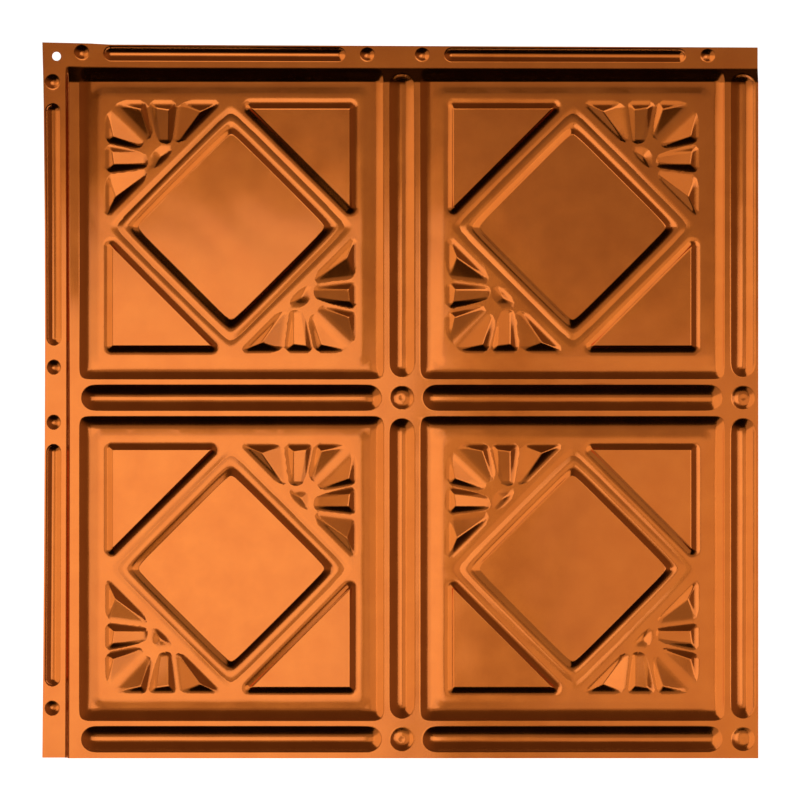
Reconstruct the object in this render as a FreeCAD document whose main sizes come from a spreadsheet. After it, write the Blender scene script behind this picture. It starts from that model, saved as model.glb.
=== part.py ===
"""Pressed tin ceiling tile: one sheet of tinplate, lying face up.

The relief is built first as a solid press form, as the die maker would cut it:
a flange along the left and top edges, a ledge one step up, four raised panels
with sunken cells, half round bars in the channels between the panels, and
buttons where the bars meet. The tile is the skin of that form.

Millimetres. X runs along the top edge, Y up the left edge, Z out of the face.
The bars cross at x = 0, y = 0 until the finished tile is centred on its outline.
"""

import FreeCAD, Part
import math
import os
import Sketcher

Vector = FreeCAD.Vector
doc = FreeCAD.newDocument("ceiling_tile")

# Driving sizes
sizes = doc.addObject("Spreadsheet::Sheet", "Sizes")
driving_sizes = [
    ("sheet_thickness", 0.3),
    ("repeat", 304.8),
    ("flange_width", 21.0),
    ("ledge_height", 3.0),
    ("left_step", 2.2),
    ("top_step", 8.4),
    ("ledge_left", 10.5),
    ("ledge_top", 0.7),
    ("lip_right", 2.85),
    ("lip_bottom", 6.0),
    ("wall_draft", 53.4),
    ("panel_gap", 33.3),
    ("panel_height", 5.3),
    ("panel_corner", 5.0),
    ("rim_round", 3.0),
    ("floor_round", 2.5),
    ("frame_width", 17.3),
    ("cell_draft", 52.0),
    ("diamond_side", 132.2),
    ("diamond_depth", 4.1),
    ("strip_width", 16.3),
    ("corner_depth", 4.1),
    ("ridge_width", 4.8),
    ("ridge_draft", 51.0),
    ("fan_depth", 5.0),
    ("facet_slope", 15.0),
    ("hub_leg", 29.4),
    ("hub_depth", 2.0),
    ("petal_waist", 22.4),
    ("petal_width", 27.9),
    ("petal_taper", 5.0),
    ("corner_petal", 41.0),
    ("column_bar_width", 21.8),
    ("row_bar_width", 22.7),
    ("bar_height", 4.6),
    ("bar_inset", 1.5),
    ("button_diameter", 20.8),
    ("button_height", 2.2),
    ("bead_width", 13.4),
    ("bead_height", 2.8),
    ("bead_length", 216.0),
    ("bead_edge", 8.6),
    ("stud_diameter", 12.6),
    ("stud_height", 2.4),
    ("stud_spread", 255.6),
    ("flange_pattern", 163.2),
    ("nail_hole", 8.0),
    ("nail_hole_edge", 12.5),
    ("form_depth", 40.0),
    ("overshoot", 1.0),
]
for row, (alias, value) in enumerate(driving_sizes, start=1):
    sizes.set("A%d" % row, alias)
    sizes.set("B%d" % row, str(value))
    sizes.setAlias("B%d" % row, alias)
doc.recompute()

# Places that follow from the driving sizes
layout = doc.addObject("App::VarSet", "Layout")
places = [
    ("face", "Sizes.sheet_thickness"),
    ("ledge", "Sizes.sheet_thickness + Sizes.ledge_height"),
    ("panel_size", "Sizes.repeat - Sizes.panel_gap"),
    ("panel_run", "Sizes.panel_height * tan(Sizes.wall_draft * 1deg)"),
    ("rim", "Layout.panel_size / 2 - Layout.panel_run - Sizes.frame_width"),
    ("diamond_reach", "Sizes.diamond_side / sqrt(2)"),
    ("corner_reach", "Layout.diamond_reach + Sizes.strip_width * sqrt(2)"),
    ("bar_length", "Layout.panel_size - 2 * Sizes.bar_inset"),
    ("left", "Sizes.repeat - Sizes.panel_gap / 2 + Sizes.ledge_left + Sizes.left_step + Sizes.flange_width"),
    ("top", "Sizes.repeat - Sizes.panel_gap / 2 + Sizes.ledge_top + Sizes.top_step + Sizes.flange_width"),
    ("right", "Sizes.repeat + Sizes.column_bar_width / 2 + Sizes.lip_right"),
    ("bottom", "Sizes.repeat + Sizes.row_bar_width / 2 + Sizes.lip_bottom"),
]
for name, formula in places:
    layout.addProperty("App::PropertyFloat", name, "Layout")
    layout.setExpression(name, formula)
doc.recompute()


def plane_of(body, role):
    """The origin plane of a body that plays the given role."""
    return [item for item in body.Origin.OriginFeatures if item.Role == role][0]


def new_body(label):
    """An empty body with the given label."""
    body = doc.addObject("PartDesign::Body", label)
    body.Label = label
    return body


def flat_sketch(body, label, height):
    """A sketch parallel to the body's XY plane, at a height given by a formula."""
    sketch = body.newObject("Sketcher::SketchObject", label)
    sketch.AttachmentSupport = (plane_of(body, "XY_Plane"), [""])
    sketch.MapMode = "FlatFace"
    sketch.setExpression("AttachmentOffset.Base.z", height)
    return sketch


def closed_outline(sketch, corners):
    """Straight lines round the corners, each corner held at its two formulas."""
    first = len(sketch.Geometry)
    count = len(corners)
    guess = [Vector(*[layout.evalExpression(term) for term in corner], 0) for corner in corners]
    for index in range(count):
        sketch.addGeometry(Part.LineSegment(guess[index], guess[(index + 1) % count]), False)
    for index in range(count):
        meeting = (first + index, 2, first + (index + 1) % count, 1)
        sketch.addConstraint(Sketcher.Constraint("Coincident", *meeting))
    for index, corner in enumerate(corners):
        for kind, value, formula in zip(("DistanceX", "DistanceY"), guess[index], corner):
            held = sketch.addConstraint(Sketcher.Constraint(kind, -1, 1, first + index, 1, value))
            sketch.setExpression("Constraints[%d]" % held, formula)


def rectangle(left, bottom, right, top):
    """Corner formulas of an upright rectangle."""
    return [(left, bottom), (right, bottom), (right, top), (left, top)]


def edges_between(feature, low, high):
    """Names of a feature's edges whose ends lie at the two heights."""
    names = []
    for index, edge in enumerate(feature.Shape.Edges, start=1):
        ends = sorted(vertex.Point.z for vertex in edge.Vertexes)
        if len(ends) == 2 and abs(ends[0] - low) < 1e-6 and abs(ends[1] - high) < 1e-6:
            names.append("Edge%d" % index)
    return names


def rounded(body, label, feature, edges, radius):
    """The feature's edges rounded to a radius given by a formula."""
    fillet = body.newObject("PartDesign::Fillet", label)
    fillet.Base = (feature, edges)
    fillet.setExpression("Radius", radius)
    body.Tip = fillet
    return fillet


# Press form: the block under the flange
blank = new_body("blank")
blank_outline = flat_sketch(blank, "blank_outline", "-Sizes.form_depth")
closed_outline(
    blank_outline,
    rectangle("-Layout.left", "-Layout.bottom", "Layout.right", "Layout.top"),
)
blank_pad = blank.newObject("PartDesign::Pad", "blank_pad")
blank_pad.Profile = blank_outline
blank_pad.setExpression("Length", "Sizes.form_depth + Layout.face")

# Press form: the field one step above the flange, running out past the right and bottom edges
# The step is short at the left and a long slope at the top; the block is drawn lying on its back
field = doc.addObject("Part::Wedge", "field")
field.Placement.Rotation = FreeCAD.Rotation(Vector(1, 0, 0), 90)
step_share = "Layout.face / Sizes.ledge_height"
step_left = "Sizes.flange_width - Layout.left"
step_top = "Sizes.flange_width - Layout.top"
for side, formula in (
    ("Xmin", "%s - Sizes.left_step * %s" % (step_left, step_share)),
    ("X2min", "%s + Sizes.left_step" % step_left),
    ("Xmax", "Layout.right + Sizes.form_depth"),
    ("X2max", "Layout.right + Sizes.form_depth"),
    ("Zmin", "%s - Sizes.top_step * %s" % (step_top, step_share)),
    ("Z2min", "%s + Sizes.top_step" % step_top),
    ("Zmax", "Layout.bottom + Sizes.form_depth"),
    ("Z2max", "Layout.bottom + Sizes.form_depth"),
    ("Ymin", "0"),
    ("Ymax", "Layout.ledge"),
):
    field.setExpression(side, formula)

# Panel: a low block with drafted walls, centred on its own middle
panel = new_body("panel")
panel_outline = flat_sketch(panel, "panel_outline", "0")
half_panel = "Layout.panel_size / 2"
closed_outline(
    panel_outline,
    rectangle("-" + half_panel, "-" + half_panel, half_panel, half_panel),
)
panel_pad = panel.newObject("PartDesign::Pad", "panel_pad")
panel_pad.Profile = panel_outline
panel_pad.setExpression("Length", "Sizes.panel_height")
panel_pad.setExpression("TaperAngle", "-Sizes.wall_draft * 1deg")

doc.recompute()
panel_corners = edges_between(panel_pad, 0, sizes.panel_height)
rounded(panel, "panel_corner_round", panel_pad, panel_corners, "Sizes.panel_corner")

# Panel: the sunken diamond in the middle
diamond_outline = flat_sketch(panel, "diamond_outline", "Sizes.panel_height")
closed_outline(
    diamond_outline,
    [
        ("Layout.diamond_reach", "0"),
        ("0", "Layout.diamond_reach"),
        ("-Layout.diamond_reach", "0"),
        ("0", "-Layout.diamond_reach"),
    ],
)
diamond_pocket = panel.newObject("PartDesign::Pocket", "diamond_pocket")
diamond_pocket.Profile = diamond_outline
diamond_pocket.setExpression("Length", "Sizes.diamond_depth")
diamond_pocket.setExpression("TaperAngle", "-Sizes.cell_draft * 1deg")

# Panel: the plain sunken triangles in two opposite corners
corner_outline = flat_sketch(panel, "corner_outline", "Sizes.panel_height")
triangle_tip = "(Layout.corner_reach - Layout.rim)"
closed_outline(
    corner_outline,
    [
        ("Layout.rim", "Layout.rim"),
        (triangle_tip, "Layout.rim"),
        ("Layout.rim", triangle_tip),
    ],
)
closed_outline(
    corner_outline,
    [
        ("-Layout.rim", "-Layout.rim"),
        ("-" + triangle_tip, "-Layout.rim"),
        ("-Layout.rim", "-" + triangle_tip),
    ],
)
corner_pocket = panel.newObject("PartDesign::Pocket", "corner_pocket")
corner_pocket.Profile = corner_outline
corner_pocket.setExpression("Length", "Sizes.corner_depth")
corner_pocket.setExpression("TaperAngle", "-Sizes.cell_draft * 1deg")
doc.recompute()

# Panel: the press rounds every rim and every floor edge of the sheet
rims = edges_between(corner_pocket, sizes.panel_height, sizes.panel_height)
rim_round = rounded(panel, "rim_rounding", corner_pocket, rims, "Sizes.rim_round")
doc.recompute()
floors = []
for depth in sorted({sizes.diamond_depth, sizes.corner_depth}):
    level = sizes.panel_height - depth
    floors += edges_between(rim_round, level, level)
rounded(panel, "floor_rounding", rim_round, floors, "Sizes.floor_round")
panel.setExpression("Placement.Base.x", "-Sizes.repeat / 2")
panel.setExpression("Placement.Base.y", "Sizes.repeat / 2")
panel.setExpression("Placement.Base.z", "Layout.ledge")
doc.recompute()


def hollow(depth, facets):
    """A faceted hollow as a solid, its rim at z = 0: what lies over a level bed and over every facet.

    A facet starts at a setback from the line between two points and goes down
    to the left of that line, at its angle below level.
    """
    reach = 2 * layout.panel_size
    solid = Part.makeBox(reach, reach, depth + sizes.overshoot, Vector(-reach / 2, -reach / 2, -depth))
    for start, end, setback, angle in facets:
        along = (end - start).normalize()
        inward = Vector(-along.y, along.x, 0)
        block = Part.makeBox(2 * reach, 2 * reach, reach, Vector(-reach, -reach, 0))
        block.rotate(Vector(0, 0, 0), along, -angle)
        block.translate(start + inward * setback)
        solid = solid.common(block)
    return solid


# Panel: a fan in each of the other two corners, six faceted petals round a small hub
rim = layout.rim
hub = (layout.corner_reach + sizes.hub_leg) / 2
tip = Vector(layout.corner_reach - rim, rim, 0)
hub_end = Vector(layout.corner_reach - hub, hub, 0)
hub_foot = Vector(hub, layout.corner_reach - hub, 0)
hub_corner = Vector(hub, hub, 0)
waist = Vector(hub - sizes.petal_waist, hub, 0)
shoulder = Vector(hub - sizes.petal_taper, hub, 0)
outer_ridge = Vector(rim - sizes.corner_petal - sizes.petal_width, rim, 0)
inner_ridge = Vector(rim - sizes.corner_petal, rim, 0)
rim_corner = Vector(rim, rim, 0)

at_frame = (0, 90 - sizes.cell_draft)
steep = (sizes.ridge_width / 2, 90 - sizes.ridge_draft)
gentle = (sizes.ridge_width / 2, sizes.facet_slope)

end_petal = hollow(sizes.fan_depth, [
    (tip, hub_end, *at_frame),
    (hub_end, waist, *steep),
    (waist, outer_ridge, *gentle),
    (outer_ridge, tip, *at_frame),
])
middle_petal = hollow(sizes.fan_depth, [
    (waist, shoulder, *steep),
    (shoulder, inner_ridge, *gentle),
    (inner_ridge, outer_ridge, *at_frame),
    (outer_ridge, waist, *steep),
])
corner_petal = hollow(sizes.fan_depth, [
    (hub_corner, rim_corner, *gentle),
    (rim_corner, inner_ridge, *at_frame),
    (inner_ridge, hub_corner, *steep),
])
hub_cell = hollow(sizes.hub_depth, [
    (hub_end, hub_foot, *at_frame),
    (hub_foot, hub_corner, *gentle),
    (hub_corner, hub_end, *gentle),
])
half_fan = Part.makeCompound([end_petal, middle_petal, corner_petal])
other_half = half_fan.mirror(Vector(0, 0, 0), Vector(1, -1, 0))
fan = Part.makeCompound(half_fan.Solids + other_half.Solids + [hub_cell])
upper_fan = fan.mirror(Vector(0, 0, 0), Vector(1, 0, 0))
lower_fan = fan.mirror(Vector(0, 0, 0), Vector(0, 1, 0))

fan_cells = doc.addObject("Part::Feature", "fan_cells")
fan_cells.Shape = Part.makeCompound(upper_fan.Solids + lower_fan.Solids)
fan_cells.setExpression("Placement.Base.x", "-Sizes.repeat / 2")
fan_cells.setExpression("Placement.Base.y", "Sizes.repeat / 2")
fan_cells.setExpression("Placement.Base.z", "Layout.ledge + Sizes.panel_height")

panel_upper_left = doc.addObject("Part::Cut", "panel_upper_left")
panel_upper_left.Base = panel
panel_upper_left.Tool = fan_cells


def mirrored(label, source, normal):
    """The source mirrored in an upright plane through the crossing of the bars."""
    copy = doc.addObject("Part::Mirroring", label)
    copy.Source = source
    copy.Normal = normal
    return copy


# Neighbouring panels are mirror images, so the fans meet round the middle of the tile
panel_upper_right = mirrored("panel_upper_right", panel_upper_left, Vector(1, 0, 0))
panel_lower_left = mirrored("panel_lower_left", panel_upper_left, Vector(0, 1, 0))
panel_lower_right = mirrored("panel_lower_right", panel_upper_right, Vector(0, 1, 0))
raised = [panel_upper_left, panel_upper_right, panel_lower_left, panel_lower_right]


def crown(width, height):
    """Formula for the radius of the arc that rises to a height over a width."""
    return "((%s)^2 / 4 + (%s)^2) / (2 * %s)" % (width, height, height)


def half_round(label, width, height, length, place, along_y):
    """A half round bar with round ends, turned as a capsule and sunk to its height.

    Width, height and length are measured where the bar leaves the level surface,
    and place is the middle of the bar on that surface. All are formulas.
    """
    radius = crown(width, height)
    reach = "((%s) - (%s)) / 2" % (length, width)
    body = new_body(label)
    profile = body.newObject("Sketcher::SketchObject", label + "_profile")
    profile.AttachmentSupport = (plane_of(body, "XY_Plane"), [""])
    profile.MapMode = "FlatFace"
    r = layout.evalExpression(radius)
    x = layout.evalExpression(reach)
    quarter = math.pi / 2
    profile.addGeometry(Part.LineSegment(Vector(-x - r, 0, 0), Vector(x + r, 0, 0)), False)
    right_end = Part.Circle(Vector(x, 0, 0), Vector(0, 0, 1), r)
    profile.addGeometry(Part.ArcOfCircle(right_end, 0, quarter), False)
    profile.addGeometry(Part.LineSegment(Vector(x, r, 0), Vector(-x, r, 0)), False)
    left_end = Part.Circle(Vector(-x, 0, 0), Vector(0, 0, 1), r)
    profile.addGeometry(Part.ArcOfCircle(left_end, quarter, math.pi), False)
    profile.addConstraint([
        Sketcher.Constraint("Coincident", 0, 2, 1, 1),
        Sketcher.Constraint("Tangent", 1, 2, 2, 1),
        Sketcher.Constraint("Tangent", 2, 2, 3, 1),
        Sketcher.Constraint("Coincident", 3, 2, 0, 1),
        Sketcher.Constraint("PointOnObject", 1, 3, -1),
        Sketcher.Constraint("PointOnObject", 3, 3, -1),
        Sketcher.Constraint("Horizontal", 2),
        Sketcher.Constraint("PointOnObject", 0, 1, -1),
    ])
    for constraint, formula in (
        (Sketcher.Constraint("Radius", 1, r), radius),
        (Sketcher.Constraint("DistanceX", -1, 1, 1, 3, x), reach),
        (Sketcher.Constraint("DistanceX", 3, 3, -1, 1, x), reach),
    ):
        held = profile.addConstraint(constraint)
        profile.setExpression("Constraints[%d]" % held, formula)
    turned = body.newObject("PartDesign::Revolution", label + "_turned")
    turned.Profile = profile
    turned.ReferenceAxis = (profile, ["H_Axis"])
    turned.Angle = 360
    body.Tip = turned
    if along_y:
        body.Placement.Rotation = FreeCAD.Rotation(Vector(0, 0, 1), 90)
    body.setExpression("Placement.Base.x", place[0])
    body.setExpression("Placement.Base.y", place[1])
    body.setExpression("Placement.Base.z", "%s + (%s) - %s" % (place[2], height, radius))
    raised.append(body)


def dome(label, width, height, place):
    """A round button: the cap of a ball sunk until the given height stands out, its poles lying level."""
    ball = doc.addObject("Part::Sphere", label)
    ball.Placement.Rotation = FreeCAD.Rotation(Vector(1, 0, 0), 90)
    ball.setExpression("Radius", crown(width, height))
    ball.setExpression("Placement.Base.x", place[0])
    ball.setExpression("Placement.Base.y", place[1])
    ball.setExpression("Placement.Base.z", "%s + (%s) - %s" % (place[2], height, crown(width, height)))
    raised.append(ball)


# Half round bars in the channels, one along each panel side that faces right or down
half_repeat = "Sizes.repeat / 2"
columns = (("left", "-" + half_repeat), ("right", half_repeat))
rows = (("upper", half_repeat), ("lower", "-" + half_repeat))
row_size = ("Sizes.row_bar_width", "Sizes.bar_height", "Layout.bar_length")
column_size = ("Sizes.column_bar_width", "Sizes.bar_height", "Layout.bar_length")
for side, x in columns:
    half_round("row_bar_middle_" + side, *row_size, (x, "0", "Layout.ledge"), False)
    half_round("row_bar_bottom_" + side, *row_size, (x, "-Sizes.repeat", "Layout.ledge"), False)
for side, y in rows:
    half_round("column_bar_middle_" + side, *column_size, ("0", y, "Layout.ledge"), True)
    half_round("column_bar_right_" + side, *column_size, ("Sizes.repeat", y, "Layout.ledge"), True)

# Round buttons where the channels cross
button_size = ("Sizes.button_diameter", "Sizes.button_height")
dome("button_middle", *button_size, ("0", "0", "Layout.ledge"))
dome("button_right", *button_size, ("Sizes.repeat", "0", "Layout.ledge"))
dome("button_bottom", *button_size, ("0", "-Sizes.repeat", "Layout.ledge"))
dome("button_corner", *button_size, ("Sizes.repeat", "-Sizes.repeat", "Layout.ledge"))

# Beads and studs on the flange, over which the next tile's bars lie
bead_size = ("Sizes.bead_width", "Sizes.bead_height", "Sizes.bead_length")
stud_size = ("Sizes.stud_diameter", "Sizes.stud_height")
bead_x = "Sizes.bead_edge - Layout.left"
bead_y = "Layout.top - Sizes.bead_edge"
for order, shift in (("first", "0"), ("second", "Sizes.repeat")):
    along = "Sizes.flange_pattern + " + shift
    top_x = "%s - Layout.left" % along
    left_y = "Layout.top - (%s)" % along
    half_round("top_bead_" + order, *bead_size, (top_x, bead_y, "Layout.face"), False)
    half_round("left_bead_" + order, *bead_size, (bead_x, left_y, "Layout.face"), True)
    for end, sign in (("before", "-"), ("after", "+")):
        offset = " %s Sizes.stud_spread / 2" % sign
        dome("top_stud_%s_%s" % (order, end), *stud_size, (top_x + offset, bead_y, "Layout.face"))
        dome("left_stud_%s_%s" % (order, end), *stud_size, (bead_x, left_y + offset, "Layout.face"))

# Press form: everything joined, then trimmed to the outline and pierced
joined_form = doc.addObject("Part::MultiFuse", "joined_form")
joined_form.Shapes = [blank, field] + raised
joined_form.Refine = True

outline = doc.addObject("Part::Box", "outline")
outline.setExpression("Length", "Layout.left + Layout.right")
outline.setExpression("Width", "Layout.top + Layout.bottom")
outline.setExpression("Height", "2 * Sizes.form_depth")
outline.setExpression("Placement.Base.x", "-Layout.left")
outline.setExpression("Placement.Base.y", "-Layout.bottom")
outline.setExpression("Placement.Base.z", "-Sizes.form_depth")

nail_hole = doc.addObject("Part::Cylinder", "nail_hole")
nail_hole.setExpression("Radius", "Sizes.nail_hole / 2")
nail_hole.setExpression("Height", "2 * Sizes.form_depth")
nail_hole.setExpression("Placement.Base.x", "Sizes.nail_hole_edge - Layout.left")
nail_hole.setExpression("Placement.Base.y", "Layout.top - Sizes.nail_hole_edge")
nail_hole.setExpression("Placement.Base.z", "-Sizes.form_depth")

trimmed_form = doc.addObject("Part::Common", "trimmed_form")
trimmed_form.Base = joined_form
trimmed_form.Tool = outline
press_form = doc.addObject("Part::Cut", "press_form")
press_form.Base = trimmed_form
press_form.Tool = nail_hole
doc.recompute()


def faces_up(face):
    """Whether a face belongs to the show side rather than the edges or the foot."""
    u_low, u_high, v_low, v_high = face.ParameterRange
    return face.normalAt((u_low + u_high) / 2, (v_low + v_high) / 2).z > 0.01


def skin(form, thickness):
    """The show side of a form with the same surface below it, closed round its edges."""
    front = Part.makeShell([face for face in form.Faces if faces_up(face)])
    drop = Vector(0, 0, -thickness)
    back = front.translated(drop)
    edges = [edge.extrude(drop) for edge in front.getFreeEdges().Edges]
    closed = Part.makeShell(front.Faces + back.Faces + edges)
    closed.sewShape()
    solid = Part.makeSolid(closed)
    if solid.Volume < 0:
        solid.reverse()
    return solid


# The tile: the pressed sheet, centred on its outline with the flange on the floor
ceiling_tile = doc.addObject("Part::Feature", "ceiling_tile")
ceiling_tile.Label = "ceiling_tile"
ceiling_tile.Shape = skin(press_form.Shape, sizes.sheet_thickness)
ceiling_tile.setExpression("Placement.Base.x", "(Layout.left - Layout.right) / 2")
ceiling_tile.setExpression("Placement.Base.y", "(Layout.bottom - Layout.top) / 2")
doc.recompute()

for item in doc.Objects:
    if "Invalid" in item.State or "Error" in item.State:
        raise SystemExit("%s did not build" % item.Label)
    if item.isDerivedFrom("Part::Feature") and item.Shape.isNull():
        raise SystemExit("%s is empty" % item.Label)
if not ceiling_tile.Shape.isValid() or len(ceiling_tile.Shape.Solids) != 1:
    raise SystemExit("the tile is not one sound solid")

os.makedirs("parts", exist_ok=True)
ceiling_tile.Shape.exportStep("parts/ceiling_tile.step")
box = ceiling_tile.Shape.optimalBoundingBox(True, False)
print("tile %.2f x %.2f x %.2f mm" % (box.XLength, box.YLength, box.ZLength))
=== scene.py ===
import bpy
import numpy as np
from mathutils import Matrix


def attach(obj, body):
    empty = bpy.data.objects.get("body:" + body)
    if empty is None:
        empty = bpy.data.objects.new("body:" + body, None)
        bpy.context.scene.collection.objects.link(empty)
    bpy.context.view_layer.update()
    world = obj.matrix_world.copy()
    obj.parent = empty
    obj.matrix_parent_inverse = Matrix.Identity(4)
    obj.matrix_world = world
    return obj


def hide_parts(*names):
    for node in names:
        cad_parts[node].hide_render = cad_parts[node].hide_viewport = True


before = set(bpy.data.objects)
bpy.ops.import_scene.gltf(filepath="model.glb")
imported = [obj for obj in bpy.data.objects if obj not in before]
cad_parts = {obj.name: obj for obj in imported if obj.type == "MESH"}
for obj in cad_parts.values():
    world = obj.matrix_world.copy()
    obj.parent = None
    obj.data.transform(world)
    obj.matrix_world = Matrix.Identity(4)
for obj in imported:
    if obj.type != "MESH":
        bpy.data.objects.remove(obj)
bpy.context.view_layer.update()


# Pressed sheet
# The whole tile is one sheet of thin tinplate, drawn between two dies in a single stroke and nailed up
# by its flange. The sheet bridges every edge of the die, so rims, floors and feet come out rounded.
# Sizes are in millimetres. Places in the pattern are counted from where the two middle channels cross.
metre = 1000
half = 320.2
thickness = 0.3
repeat = 304.8
crossing = (1.65, 1.96)


def ramp(distance, run, soft):
    """A rise from 0 to 1 over a run: the straight slope averaged over a window of the soft width."""

    def area(d):
        return np.clip(d, 0, run) ** 2 / (2 * run) + np.maximum(d - run, 0)

    return (area(distance + soft / 2) - area(distance - soft / 2)) / soft


def soft_min(a, b, width):
    """The smaller of two heights, less a parabola that rounds the crease where they cross."""
    return np.minimum(a, b) - np.maximum(width - np.abs(a - b), 0) ** 2 / (4 * width)


def soft_max(a, b, width):
    """The larger of two heights, with the crease where they cross rounded the same way."""
    return -soft_min(-a, -b, width)


# Flange, ledge and top slope: the flange is level, a step along the left lifts the sheet to the ledge,
# and a long slope along the top carries it from the flange up to the panels
flange_width = 19.0
step_start, step_run, step_round = 21.2, 2.6, 1.6
ledge_height, ledge_width, ledge_inner_edge = 3.0, 10.5, 34.5
ledge_lean, lean_start, lean_run, lean_round = 0.18, -30.0, 130.0, 40.0
slope_start, slope_run, slope_round = 21.9, 14.2, 2.0


def ledge(from_left, y):
    """Height of the ledge past the left step: level low down, and leaning towards the step higher up."""
    lean = ledge_lean * np.clip(ledge_inner_edge - from_left, 0, ledge_width)
    lean = lean * ramp(y - lean_start, lean_run, lean_round)
    return (ledge_height + lean) * ramp(from_left - step_start, step_run, step_round)


# Bars and buttons: half-round bars fill the channels, and a dimpled button sits where two channels cross
# A bar's reach is from its middle to where its round end begins, and the top ends run into the top slope
bar_height, crown_power, end_ease = 5.0, 1.8, 5.0
row_bar_width, row_bar_reach = 22.7, 122.9
column_bar_width, column_bar_reach, top_bar_reach = 21.8, 123.3, 128.0
button_width, button_height, button_power = 20.4, 2.2, 3.0
dimple_depth, dimple_start, dimple_run, dimple_round = 0.35, 0.5, 2.5, 2.0
foot_round = 0.7


def half_round(reach, width, height, power):
    """A rounded rise to a height over a width, which falls by a power of the reach from its middle."""
    return height * (1 - (2 * reach / width) ** power)


def eased(past, width):
    """Distance past a place, rising from 0 before it along a hyperbola that is soft over the width."""
    return (past + np.hypot(past, width)) / 2


def bars_and_buttons(x, y, u, v):
    """Height of the bars and buttons over the ledge, the highest at each place; negative between them."""
    row = np.where(y > -repeat / 2, y, y + repeat)
    column = np.where(x < repeat / 2, x, x - repeat)
    past_row_end = eased(np.abs(u) - row_bar_reach, end_ease)
    row_bar = half_round(np.hypot(past_row_end, row), row_bar_width, bar_height, crown_power)
    reach = np.where(y > repeat / 2, top_bar_reach, column_bar_reach)
    past_column_end = eased(np.abs(v) - reach, end_ease)
    column_bar = half_round(np.hypot(past_column_end, column), column_bar_width, bar_height, crown_power)
    from_button = np.hypot(column, row)
    dimple = dimple_depth * (1 - ramp(from_button - dimple_start, dimple_run, dimple_round))
    button = half_round(from_button, button_width, button_height, button_power) - dimple
    return np.maximum(np.maximum(row_bar, column_bar), button)


# Beads and studs: raised in the flange in one line, where they lie under the bars of the next tile
bead_edge, bead_middle, bead_reach = 8.64, 163.2, 101.3
bead_width, bead_height = 13.4, 3.6
stud_width, stud_height, stud_reach = 12.6, 2.4, 127.8


def beads_and_studs(along, from_edge):
    """Height of one flange's line of forms: in each repeat a long bead, with a stud past either end."""
    along = np.where(along < bead_middle + repeat / 2, along, along - repeat) - bead_middle
    past_end = np.maximum(np.abs(along) - bead_reach, 0)
    bead = half_round(np.hypot(past_end, from_edge - bead_edge), bead_width, bead_height, crown_power)
    from_stud = np.hypot(np.abs(along) - stud_reach, from_edge - bead_edge)
    return np.maximum(bead, half_round(from_stud, stud_width, stud_height, crown_power))


# Panels: four raised squares with round corners, whose walls curve over to the level
panel_height, panel_reach, panel_corner, corner_power = 4.3, 135.75, 20.0, 6
wall_run, wall_foot_round = 12.0, 0.5
reach_under_slope = 8.0


def from_panel_foot(y, u, v):
    """Distance in from the foot of a panel's wall: a square whose round corners follow a sixth power.

    The upper panels reach further up, under the top slope.
    """
    from_middle = np.where(y > repeat / 2, np.abs(v) - reach_under_slope, np.abs(v))
    core = panel_reach - panel_corner
    past_u = np.maximum(np.abs(u) - core, 0)
    past_v = np.maximum(from_middle - core, 0)
    return panel_corner - (past_u**corner_power + past_v**corner_power) ** (1 / corner_power)


def panel_rise(from_foot):
    """Height of a panel over the ledge: a parabola from the foot of its wall to the level."""
    wall = panel_height * (1 - np.maximum(1 - from_foot / wall_run, 0) ** 2)
    return soft_max(wall, 0, wall_foot_round)


# Plain cells: a sunken diamond in the middle of each panel and a sunken triangle in two of its corners
# Across and up are the lesser and the greater distance of a place from the panel's two middle lines
rim = 112.7
corner_reach = 114.55
diamond_reach = 95.46
diamond_tip_round = 3.0
triangle_corner, triangle_crease = 6.5, 1.0
cell_floor, cell_shoulder, cell_wall, cell_wall_power, cell_foot_round = 4.1, 3.2, 9.8, 2.6, 0.8


def from_segment(x, y, start, end):
    """Distance from the nearest place on the straight line between two points."""
    along = np.subtract(end, start)
    share = ((x - start[0]) * along[0] + (y - start[1]) * along[1]) / np.dot(along, along)
    share = np.clip(share, 0, 1)
    return np.hypot(x - start[0] - share * along[0], y - start[1] - share * along[1])


def into_diamond(across, up):
    """Distance in from the sloping edge of the diamond, whose tips are rounded by a hyperbola."""
    return (diamond_reach - np.hypot(across, diamond_tip_round) - up) / np.sqrt(2)


def into_triangle(across, up):
    """Distance in from the edge of a corner triangle.

    Near the edge it is the corner's radius less the distance from a triangle set in by that radius,
    which rounds the corners. Inside the set-in triangle it is the distance from the nearest side.
    """
    inset_up = rim - triangle_corner
    inset_line = corner_reach + triangle_corner * np.sqrt(2)
    inset_tip = (inset_line - inset_up, inset_up)
    from_top_side = from_segment(across, up, inset_tip, (inset_up, inset_up))
    from_long_side = from_segment(across, up, inset_tip, (inset_line / 2, inset_line / 2))
    rounded = triangle_corner - np.minimum(from_top_side, from_long_side)
    straight = soft_min(rim - up, (across + up - corner_reach) / np.sqrt(2), triangle_crease)
    return np.where((up < inset_up) & (across + up > inset_line), straight, rounded)


def cell_depth(into):
    """Depth of a plain cell: a wall that steepens by a power of the way in, down to a flat floor."""
    wall = cell_floor * (np.maximum(into + cell_shoulder, 0) / cell_wall) ** cell_wall_power
    return soft_min(wall, cell_floor, cell_foot_round)


# Fans: in the other two corners, hollows with one gentle face each spread from a small hub to the rim
hub_leg = 29.4
hub = (corner_reach + hub_leg) / 2
ridge_round, fan_floor = 6.8, 5.0
crest_round, crest_start, crest_least = 1.0, 0.15, 0.001
corner_cut = 2.0
crease_deep, crease_shallow = 0.5, 1.8


def inside(x, y, start, end):
    """Distance from the line through two points, positive on the left of start to end."""
    along = np.subtract(end, start) / np.hypot(*np.subtract(end, start))
    return along[0] * (y - start[1]) - along[1] * (x - start[0])


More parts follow.
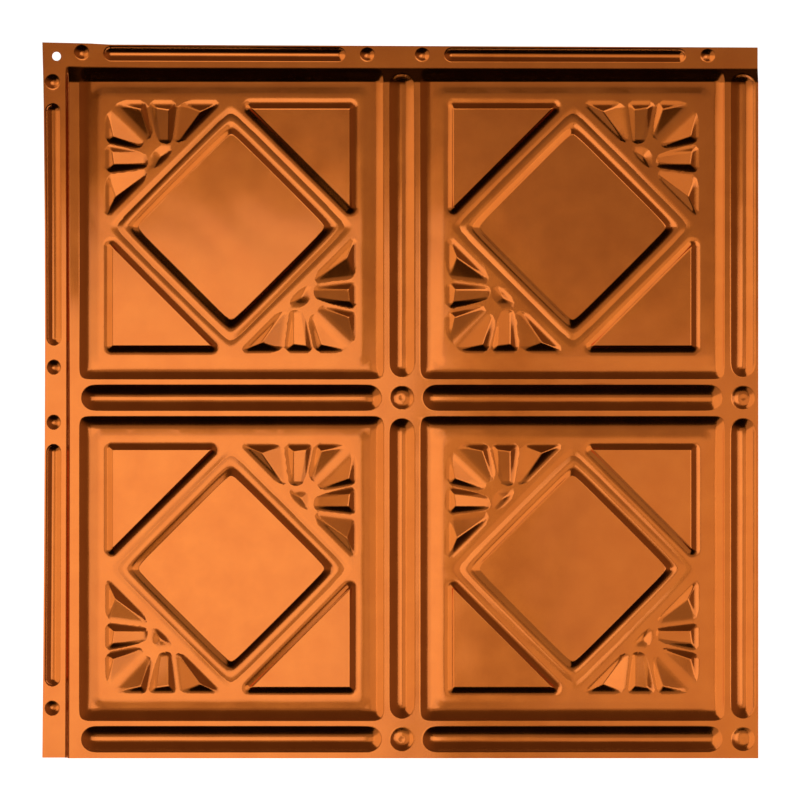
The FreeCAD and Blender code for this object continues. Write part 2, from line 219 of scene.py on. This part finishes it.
def shoulder(reach, slope, roundness):
    """The fall of the sheet past a ridge: a parabola over the roundness, then straight at the slope."""
    reach = np.maximum(reach, 0)
    return slope * np.where(reach < roundness, reach**2 / (2 * roundness), reach - roundness / 2)


def fan_depth(across, up):
    """Depth of a fan of hollows in a panel corner, on the half of the corner where up is at least across.

    Each side of a hollow falls from its ridge line with a round shoulder, one side gently and the
    others steeply, and the depth is the least of these falls. Floors are rounded more where they are
    shallow, and the ridges between hollows are rounded where both sides are deep enough.
    """
    steep, gentle, bed, cup = 0.6, 0.22, 0.12, 0.26
    at_ridge, at_rim, at_strip, at_diagonal, at_bed = -1.2, -0.8, 0.9, -0.4, 0.0
    tip, rim_corner = (corner_reach - rim, rim), (rim - corner_cut, rim)
    hub_end, hub_tail, hub_corner = (corner_reach - hub, hub), (hub, corner_reach - hub), (hub, hub)
    outer_foot, outer_end = (52.0, hub), (47.0, rim)
    inner_foot, inner_end = (67.0, hub), (74.6, rim)
    bed_start, bed_end = (60.0, 62.4), (66.0, 69.6)
    tip_left, tip_right = (66.0, 79.5), (79.5, 66.0)
    hollows = [
        [(tip, hub_end, steep, at_strip), (hub_end, outer_foot, steep, at_ridge),
         (outer_foot, outer_end, gentle, at_ridge), (outer_end, tip, steep, at_rim)],
        [(outer_foot, inner_foot, steep, at_ridge), (inner_foot, inner_end, steep, at_ridge),
         (bed_start, bed_end, bed, at_bed), (inner_end, outer_end, steep, at_rim),
         (outer_end, outer_foot, steep, at_ridge)],
        [(hub_corner, rim_corner, gentle, at_diagonal), (rim_corner, inner_end, steep, at_rim),
         (inner_end, inner_foot, steep, at_ridge), (tip_left, tip_right, steep, at_ridge)],
        [(hub_end, hub_tail, steep, at_strip), (hub_tail, hub_corner, cup, at_ridge),
         (hub_corner, hub_end, cup, at_ridge)],
    ]
    deepest = np.zeros_like(across)
    for sides in hollows:
        depth = np.full_like(across, fan_floor)
        for start, end, slope, setback in sides:
            fall = shoulder(inside(across, up, start, end) - setback, slope, ridge_round)
            crease = crease_deep + crease_shallow / (1 + np.minimum(depth, fall) ** 2)
            depth = soft_min(depth, fall, crease)
        crest = crest_round * np.clip(np.minimum(deepest, depth) / crest_start, crest_least, 1)
        deepest = soft_max(deepest, depth, crest)
    return deepest


# Border: the sheet is pushed up a little along the edge of every cell
border_height, border_flat, border_run, border_round = 0.85, 3.0, 5.5, 3.5
border_meeting_round, border_stretch_at_rim = 4.0, 0.65


def border(across, up):
    """Height of the border: full beside a cell, and falling away with the distance from the nearest cell.

    It falls more slowly past the rim, towards the wall of the panel.
    """
    beside = np.hypot(across, border_meeting_round)
    tip, rim_corner = (corner_reach - rim, rim), (rim, rim)
    from_top_side = from_segment(beside, up, tip, rim_corner)
    from_long_side = from_segment(beside, up, tip, (corner_reach / 2, corner_reach / 2))
    to_corner = np.minimum(from_top_side, from_long_side)
    to_corner = np.where((up < rim) & (beside + up > corner_reach), 0, to_corner)
    to_corner = np.where(up > rim, border_stretch_at_rim * to_corner, to_corner)
    to_diamond = from_segment(beside, up, (0, diamond_reach), (diamond_reach / 2, diamond_reach / 2))
    to_diamond = np.where(beside + up < diamond_reach, 0, to_diamond)
    past_flat = np.minimum(to_corner, to_diamond) - border_flat
    return border_height - border_height * ramp(past_flat, border_run, border_round)


# Waves: a thin sheet never comes out of the press quite flat
wave_depth, wave_start, wave_run, wave_round = 0.09, 24.0, 8.0, 4.0
wave_x, sway_x, sway_length_x = 11.0, 1.3, 23.0
wave_y, sway_y, sway_length_y, sway_shift = 14.0, 1.1, 19.0, 2.0


def waves(x, y):
    """A fall from 0 to twice the wave depth: two crossed sine waves, each swayed by a longer one."""
    along_x = np.sin(x / wave_x + sway_x * np.sin(y / sway_length_x))
    along_y = np.sin(y / wave_y + sway_y * np.sin(x / sway_length_y + sway_shift))
    return wave_depth * (along_x * along_y - 1)


def relief(x, y):
    """Height of the show face over the floor, in millimetres, at a place counted from the tile's middle.

    The top slope scales the ledge and panels. Bars, beads and borders are added to them, and cells and
    waves are taken off. The place in a panel, u and v, is counted from the panel's middle, outwards from
    the crossing for v and towards it for u, so that neighbouring panels are mirror images.
    """
    from_left = x + half
    from_top = half - y
    from_flange_edges = np.minimum(from_left, from_top)
    x = x - crossing[0]
    y = y - crossing[1]
    u = repeat / 2 - np.abs(x)
    v = np.abs(y) - repeat / 2
    across = np.minimum(np.abs(u), np.abs(v))
    up = np.maximum(np.abs(u), np.abs(v))
    from_foot = from_panel_foot(y, u, v)
    field = ledge(from_left, y) + panel_rise(from_foot)
    field = field * ramp(from_top - slope_start, slope_run, slope_round)
    on_flange = np.maximum(beads_and_studs(from_left, from_top), beads_and_studs(from_top, from_left))
    raised = np.where(from_flange_edges < flange_width, on_flange, bars_and_buttons(x, y, u, v))
    raised = soft_max(raised, 0, foot_round)
    bordered = np.clip(from_foot / wall_run, 0, 1) * border(across, up)
    corner_cell = np.where(u * v > 0, cell_depth(into_triangle(across, up)), fan_depth(across, up))
    cells = cell_depth(into_diamond(across, up)) + corner_cell
    wavy = waves(x, y) * ramp(from_flange_edges - wave_start, wave_run, wave_round)
    return thickness + field + raised + bordered - cells + wavy


# A fine grid over the whole outline; its points near the nail hole are drawn onto the hole's edge
count = 641
hole_edge, hole_radius, hole_catch = 12.5, 4.0, 0.75
line = np.linspace(-half, half, count)
grid_x, grid_y = np.meshgrid(line, line)
hole_x, hole_y = -half + hole_edge, half - hole_edge
from_hole = np.hypot(grid_x - hole_x, grid_y - hole_y)
at_hole = np.abs(from_hole - hole_radius) < hole_catch
to_edge = np.where(at_hole, hole_radius / np.maximum(from_hole, 1e-6), 1.0)
grid_x = hole_x + (grid_x - hole_x) * to_edge
grid_y = hole_y + (grid_y - hole_y) * to_edge
points = np.stack([grid_x, grid_y, relief(grid_x, grid_y)], axis=-1).reshape(-1, 3)
index = np.arange(count * count).reshape(count, count)
quads = np.stack([index[:-1, :-1], index[:-1, 1:], index[1:, 1:], index[1:, :-1]], axis=-1).reshape(-1, 4)
quad_middle = points[quads].mean(axis=1)
quads = quads[np.hypot(quad_middle[:, 0] - hole_x, quad_middle[:, 1] - hole_y) > hole_radius]


def mesh_of(name, corners, faces):
    """A mesh from an array of corner places and an array of faces with equally many corners each."""
    mesh = bpy.data.meshes.new(name)
    sides = faces.shape[1]
    mesh.vertices.add(len(corners))
    mesh.vertices.foreach_set("co", np.asarray(corners, np.float32).ravel())
    mesh.loops.add(faces.size)
    mesh.loops.foreach_set("vertex_index", faces.astype(np.int32).ravel())
    mesh.polygons.add(len(faces))
    mesh.polygons.foreach_set("loop_start", np.arange(0, faces.size, sides, dtype=np.int32))
    mesh.update(calc_edges=True)
    return mesh


# Flats need few triangles and rims need many, so the grid is thinned to about 90,000
front_triangles = 90000
pressed = bpy.data.objects.new("pressed_grid", mesh_of("pressed_grid", points / metre, quads))
bpy.context.collection.objects.link(pressed)
thinning = pressed.modifiers.new("thinning", "DECIMATE")
thinning.ratio = front_triangles / (2 * len(quads))
depsgraph = bpy.context.evaluated_depsgraph_get()
thinned = bpy.data.meshes.new_from_object(pressed.evaluated_get(depsgraph))
thinned.calc_loop_triangles()
front = np.empty(len(thinned.vertices) * 3, np.float32)
thinned.vertices.foreach_get("co", front)
front = front.reshape(-1, 3).astype(float) * metre
front[:, 2] = relief(front[:, 0], front[:, 1])
triangles = np.empty(len(thinned.loop_triangles) * 3, np.int32)
thinned.loop_triangles.foreach_get("vertices", triangles)
triangles = triangles.reshape(-1, 3)
bpy.data.objects.remove(pressed)

# The flange was cut with shears, so its two edges bow inwards by a few millimetres
bow_width = 36.0
left_bow_depth, left_bow_power = 2.4, 0.75
top_bow_step, top_step_start, top_step_run, top_step_round = 1.8, 28.0, 34.0, 10.0
top_bow_rise = 2.8
from_left = np.maximum(front[:, 0] + half, 0)
from_top = np.maximum(half - front[:, 1], 0)
near_left = np.maximum(1 - from_left / bow_width, 0)
near_top = np.maximum(1 - from_top / bow_width, 0)
left_bow = left_bow_depth * np.sin(np.pi * (from_top / (2 * half)) ** left_bow_power)
top_bow = top_bow_step * ramp(from_left - top_step_start, top_step_run, top_step_round)
top_bow = top_bow + top_bow_rise * from_left / (2 * half)
placed = front + np.stack([near_left * left_bow, -near_top * top_bow, np.zeros(len(front))], axis=1)

# The back repeats the front one sheet thickness lower, and a strip closes the cut edges
total = len(front)
starts = triangles.ravel()
ends = np.roll(triangles, -1, axis=1).ravel()
open_edge = ~np.isin(starts.astype(np.int64) * total + ends, ends.astype(np.int64) * total + starts)
starts, ends = starts[open_edge], ends[open_edge]
strip = np.concatenate([
    np.stack([starts, starts + total, ends + total], axis=1),
    np.stack([starts, ends + total, ends], axis=1),
])
sheet_points = np.concatenate([placed, placed - [0, 0, thickness]])
sheet_faces = np.concatenate([triangles, triangles[:, ::-1] + total, strip])
sheet = mesh_of("copper_tile", sheet_points / metre, sheet_faces)


def slopes_at(x, y):
    """Upward unit normals of the relief, from its rise over a twentieth of a millimetre each way."""
    step = 0.05
    slope_x = (relief(x + step, y) - relief(x - step, y)) / (2 * step)
    slope_y = (relief(x, y + step) - relief(x, y - step)) / (2 * step)
    normal = np.stack([-slope_x, -slope_y, np.ones_like(x)], axis=-1)
    return normal / np.linalg.norm(normal, axis=-1, keepdims=True)


# Shading follows the true slope of the relief, read a little inside each triangle so that flats stay flat
inset_share = 0.1
corners = front[triangles]
corners = corners + inset_share * (corners.mean(axis=1, keepdims=True) - corners)
upward = slopes_at(corners[:, :, 0], corners[:, :, 1])
run_along = front[ends] - front[starts]
outward = np.stack([run_along[:, 1], -run_along[:, 0], np.zeros(len(starts))], axis=1)
outward /= np.linalg.norm(outward, axis=1, keepdims=True)
corner_normals = np.concatenate([
    upward.reshape(-1, 3),
    -upward[:, ::-1].reshape(-1, 3),
    np.repeat(np.concatenate([outward, outward]), 3, axis=0),
])
sheet.shade_smooth()
sheet.normals_split_custom_set(corner_normals)
tile = bpy.data.objects.new("copper_tile", sheet)
bpy.context.collection.objects.link(tile)


# Copper-coloured lacquer over tinplate, sprayed on the flat sheet before it is pressed: a satin metal
# with soft reflections, faint lines from the rolling of the sheet, and a slightly cloudy coat
# The real lines are finer, and are drawn as coarse as they need to be to show
def linear(hex_colour):
    """A linear RGBA colour from an sRGB hex value."""
    parts = np.array([int(hex_colour[i:i + 2], 16) for i in (1, 3, 5)]) / 255
    low = parts / 12.92
    high = ((parts + 0.055) / 1.055) ** 2.4
    return (*np.where(parts <= 0.04045, low, high), 1.0)


def add_node(tree, kind, settings, links):
    """A node with settings, as attributes or input values, and with inputs linked from other sockets."""
    node = tree.nodes.new(kind)
    for name, value in settings.items():
        if hasattr(node, name):
            setattr(node, name, value)
        else:
            node.inputs[name].default_value = value
    for name, socket in links.items():
        tree.links.new(socket, node.inputs[name])
    return node


copper_dark, copper_pale = "#CE681F", "#E47C2A"
cloud_size, line_spacing, line_length, line_depth = 0.022, 0.0011, 0.06, 0.00004
line_scale = (1 / line_spacing, 1 / line_length, 1 / line_length)
copper = bpy.data.materials.new("copper_lacquered_tinplate")
copper.use_nodes = True
tree = copper.node_tree
shader = tree.nodes["Principled BSDF"]
place = add_node(tree, "ShaderNodeTexCoord", {}, {}).outputs["Object"]
cloudy = add_node(tree, "ShaderNodeTexNoise", {"Scale": 1 / cloud_size, "Detail": 4.0}, {"Vector": place})
clouds = cloudy.outputs["Fac"]
tint = add_node(tree, "ShaderNodeMix", {"data_type": "RGBA"}, {0: clouds})
tint.inputs[6].default_value = linear(copper_dark)
tint.inputs[7].default_value = linear(copper_pale)
tree.links.new(tint.outputs[2], shader.inputs["Base Color"])
gloss = add_node(tree, "ShaderNodeMapRange", {"To Min": 0.16, "To Max": 0.22}, {"Value": clouds})
tree.links.new(gloss.outputs[0], shader.inputs["Roughness"])
stretched = add_node(tree, "ShaderNodeMapping", {"Scale": line_scale}, {"Vector": place}).outputs[0]
lines = add_node(tree, "ShaderNodeTexNoise", {"Scale": 1.0, "Detail": 2.0}, {"Vector": stretched})
lines = lines.outputs["Fac"]
rolled = add_node(tree, "ShaderNodeBump", {"Strength": 0.25, "Distance": line_depth}, {"Height": lines})
tree.links.new(rolled.outputs[0], shader.inputs["Normal"])
shader.inputs["Metallic"].default_value = 1.0
shader.inputs["Coat Weight"].default_value = 0.3
shader.inputs["Coat Roughness"].default_value = 0.1
sheet.materials.append(copper)

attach(tile, "root")
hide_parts("ceiling_tile")


# Floor
# A plain pale studio floor of paper under the tile. A glow of its own makes it white to the camera and
# in the metal, without more light on the tile.
floor_size, floor_glow = 40.0, 0.8
floor_corners = np.array([[-1, -1, 0], [1, -1, 0], [1, 1, 0], [-1, 1, 0]]) * floor_size / 2
floor = bpy.data.objects.new("floor", mesh_of("floor", floor_corners, np.array([[0, 1, 2, 3]])))
bpy.context.collection.objects.link(floor)
paper = bpy.data.materials.new("white_paper")
paper.use_nodes = True
tree = paper.node_tree
shader = tree.nodes["Principled BSDF"]
shader.inputs["Base Color"].default_value = linear("#F2F2F0")
shader.inputs["Roughness"].default_value = 0.9
shader.inputs["Emission Color"].default_value = linear("#FFFFFF")
rays = add_node(tree, "ShaderNodeLightPath", {}, {}).outputs
either = {"operation": "MAXIMUM"}
seen = add_node(tree, "ShaderNodeMath", either, {0: rays["Is Camera Ray"], 1: rays["Is Glossy Ray"]})
seen = add_node(tree, "ShaderNodeMath", either, {0: seen.outputs[0], 1: rays["Is Transmission Ray"]})
glow = add_node(tree, "ShaderNodeMath", {"operation": "MULTIPLY"}, {0: seen.outputs[0]})
glow.inputs[1].default_value = floor_glow
tree.links.new(glow.outputs[0], shader.inputs["Emission Strength"])
floor.data.materials.append(paper)


# Studio light
# A bank of soft boxes over the tile, the brightest and coolest at the left, and two upright ones at the
# right, in a dim, warm room that is lighter to the left and dark towards the top edge of the tile.
def soft_box(name, place, turn, size, radiance, colour):
    """An oblong lamp at a place, facing down but turned about Y, with a face of a given brightness."""
    lamp = bpy.data.lights.new(name, "AREA")
    lamp.shape = "RECTANGLE"
    lamp.size, lamp.size_y = size
    lamp.energy = radiance * np.pi * size[0] * size[1]
    lamp.color = linear(colour)[:3]
    box = bpy.data.objects.new(name, lamp)
    box.location = place
    box.rotation_euler = (0, np.radians(turn), 0)
    box.visible_camera = False
    bpy.context.collection.objects.link(box)


cool, neutral, warm = "#D6E1FF", "#FFFFFF", "#FFDDC5"
soft_box("left_box", (-0.8, -0.28, 2.3), 0, (1.75, 1.36), 1.43, cool)
soft_box("ceiling_box", (0.3, -0.2, 2.35), 0, (2.5, 2.7), 0.3, neutral)
soft_box("middle_box", (1.15, -0.6, 2.3), 0, (1.7, 1.45), 0.43, neutral)
soft_box("right_box", (2.6, -1.5, 1.95), 90, (3.3, 4.6), 0.98, neutral)
soft_box("back_right_box", (2.6, 2.0, 1.95), 90, (3.3, 2.4), 0.42, neutral)

room = bpy.data.worlds.new("dim_room")
room.use_nodes = True
tree = room.node_tree
back = tree.nodes["Background"]
back.inputs["Color"].default_value = linear(warm)
direction = add_node(tree, "ShaderNodeTexCoord", {}, {}).outputs["Generated"]
parts = add_node(tree, "ShaderNodeSeparateXYZ", {}, {0: direction}).outputs
left_to_right = {"From Min": -0.9, "From Max": 0.0, "To Min": 0.26, "To Max": 0.12}
sideways = add_node(tree, "ShaderNodeMapRange", left_to_right, {"Value": parts["X"]}).outputs[0]
near_to_far = {"From Min": 0.0, "From Max": 0.6, "To Min": 1.0, "To Max": 0.02}
backwards = add_node(tree, "ShaderNodeMapRange", near_to_far, {"Value": parts["Y"]}).outputs[0]
shade = add_node(tree, "ShaderNodeMath", {"operation": "MULTIPLY"}, {0: sideways, 1: backwards})
tree.links.new(shade.outputs[0], back.inputs["Strength"])
bpy.context.scene.world = room


# Camera
# The photo looks straight down on the tile, which takes up most of the picture's width.
tile_pixels, picture_pixels = 715.3, 800
focal_length, sensor_width = 85, 36
view_width = 2 * half / metre * picture_pixels / tile_pixels
lens = bpy.data.cameras.new("camera")
lens.lens = focal_length
lens.sensor_width = sensor_width
camera = bpy.data.objects.new("camera", lens)
camera.location = (0, 0, view_width * focal_length / sensor_width)
bpy.context.collection.objects.link(camera)
bpy.context.scene.camera = camera
bpy.context.scene.view_settings.view_transform = "Standard"
